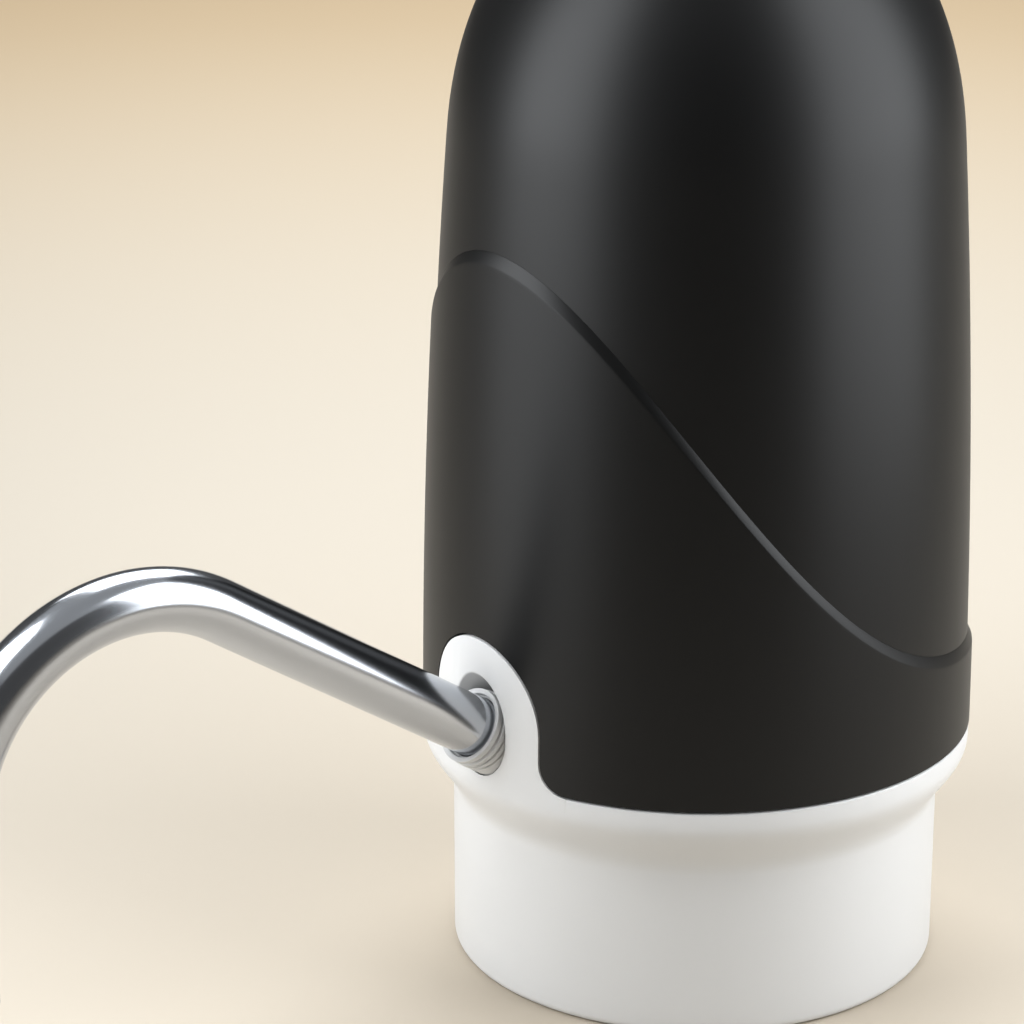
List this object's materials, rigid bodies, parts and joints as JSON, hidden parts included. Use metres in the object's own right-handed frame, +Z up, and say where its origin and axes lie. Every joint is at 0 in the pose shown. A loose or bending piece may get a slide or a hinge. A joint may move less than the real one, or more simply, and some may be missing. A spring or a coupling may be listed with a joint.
{
  "type": "electric water jug pump",
  "caption": "Rechargeable pump that sits on a large water bottle: black domed case with a wave-edged sleeve, white collar and a bent steel spout.",
  "frame": {"origin": "centre of the white collar's bottom rim, over the bottle's mouth", "axes": "+Z up along the body, -Y towards the spout, +Y towards the charging port"},
  "size_m": [0.075, 0.1556, 0.1509],
  "materials": {
    "white_plastic": "white plastic with a soft satin finish",
    "black_plastic": "black plastic with a smooth satin finish",
    "button_plastic": "black satin plastic cap",
    "polished_trim": "bright plated ring",
    "light_pipe": "translucent light pipe",
    "circuit_board": "solder-masked board",
    "black_rubber": "dark rubber",
    "zinc": "zinc-plated steel",
    "stainless_steel": "polished stainless steel tube",
    "pale_silicone": "pale moulded silicone",
    "inner_plastic": "unpainted moulded plastic",
    "cell_wrap": "shrink-wrapped cell",
    "motor_steel": "drawn steel",
    "copper_winding": "enamelled copper winding on a laminated core",
    "red_lead": "insulated lead",
    "black_lead": "insulated lead",
    "white_lead": "insulated two-core cable"
  },
  "bodies": {
    "pump_body": {"base_housing": "white_plastic", "wave_sleeve": "black_plastic", "top_cover": "black_plastic", "button_trim_ring": "polished_trim", "button_light_ring": "light_pipe", "button_board": "circuit_board", "tact_switch": "black_rubber", "led_left": "light_pipe", "led_right": "light_pipe", "button_board_screw_1": "zinc", "button_board_screw_2": "zinc", "outlet_socket": "inner_plastic", "neck_gasket": "pale_silicone", "inlet_nipple": "white_plastic", "inner_frame": "inner_plastic", "frame_screw_1": "zinc", "frame_screw_2": "zinc", "motor_strap": "zinc", "strap_screw_1": "zinc", "strap_screw_2": "zinc", "case_screw_1": "zinc", "case_screw_2": "zinc", "case_screw_3": "zinc", "case_screw_4": "zinc", "battery_cell": "cell_wrap", "battery_tab_bottom": "zinc", "battery_tab_top": "zinc", "pump_head": "inner_plastic", "valve_plate": "white_plastic", "pump_diaphragm": "black_rubber", "pump_drive_housing": "inner_plastic", "wobble_plate": "white_plastic", "pump_screw_1": "zinc", "pump_screw_2": "zinc", "pump_screw_3": "zinc", "pump_screw_4": "zinc", "motor_can": "motor_steel", "motor_magnets": "black_rubber", "motor_end_cap": "white_plastic", "main_board": "circuit_board", "main_board_screw_1": "zinc", "main_board_screw_2": "zinc", "usb_socket": "zinc", "inlet_hose": "pale_silicone", "outlet_hose": "pale_silicone", "battery_lead_red": "red_lead", "battery_lead_black": "black_lead", "motor_lead_red": "red_lead", "motor_lead_black": "black_lead", "button_cable": "white_lead"},
    "button": {"power_button": "button_plastic", "switch_plunger": "white_plastic"},
    "spout_seat": {"spout_ferrule": "pale_silicone", "spout_o_ring_1": "black_rubber", "spout_o_ring_2": "black_rubber"},
    "spout": {"spout_tube": "stainless_steel"},
    "rotor": {"motor_shaft": "motor_steel", "motor_rotor": "copper_winding", "eccentric": "white_plastic"}
  },
  "joints": [
    {"name": "button_press", "type": "slide", "parent": "pump_body", "child": "button", "axis": [0, 0, -1], "range_m": [0, 0.0008], "stiffness_N_per_m": 2500},
    {"name": "spout_pull", "type": "slide", "parent": "pump_body", "child": "spout_seat", "axis": [0, -0.8396, 0.5432], "range_m": [0, 0.016]},
    {"name": "spout_swivel", "type": "hinge", "parent": "spout_seat", "child": "spout", "pos_m": [0, -0.0375, 0.0394], "axis": [0, -0.8396, 0.5432], "continuous": true},
    {"name": "motor_spin", "type": "hinge", "parent": "pump_body", "child": "rotor", "pos_m": [0.0115, -0.0005, 0.0732], "axis": [0, 0, 1], "continuous": true}
  ]
}
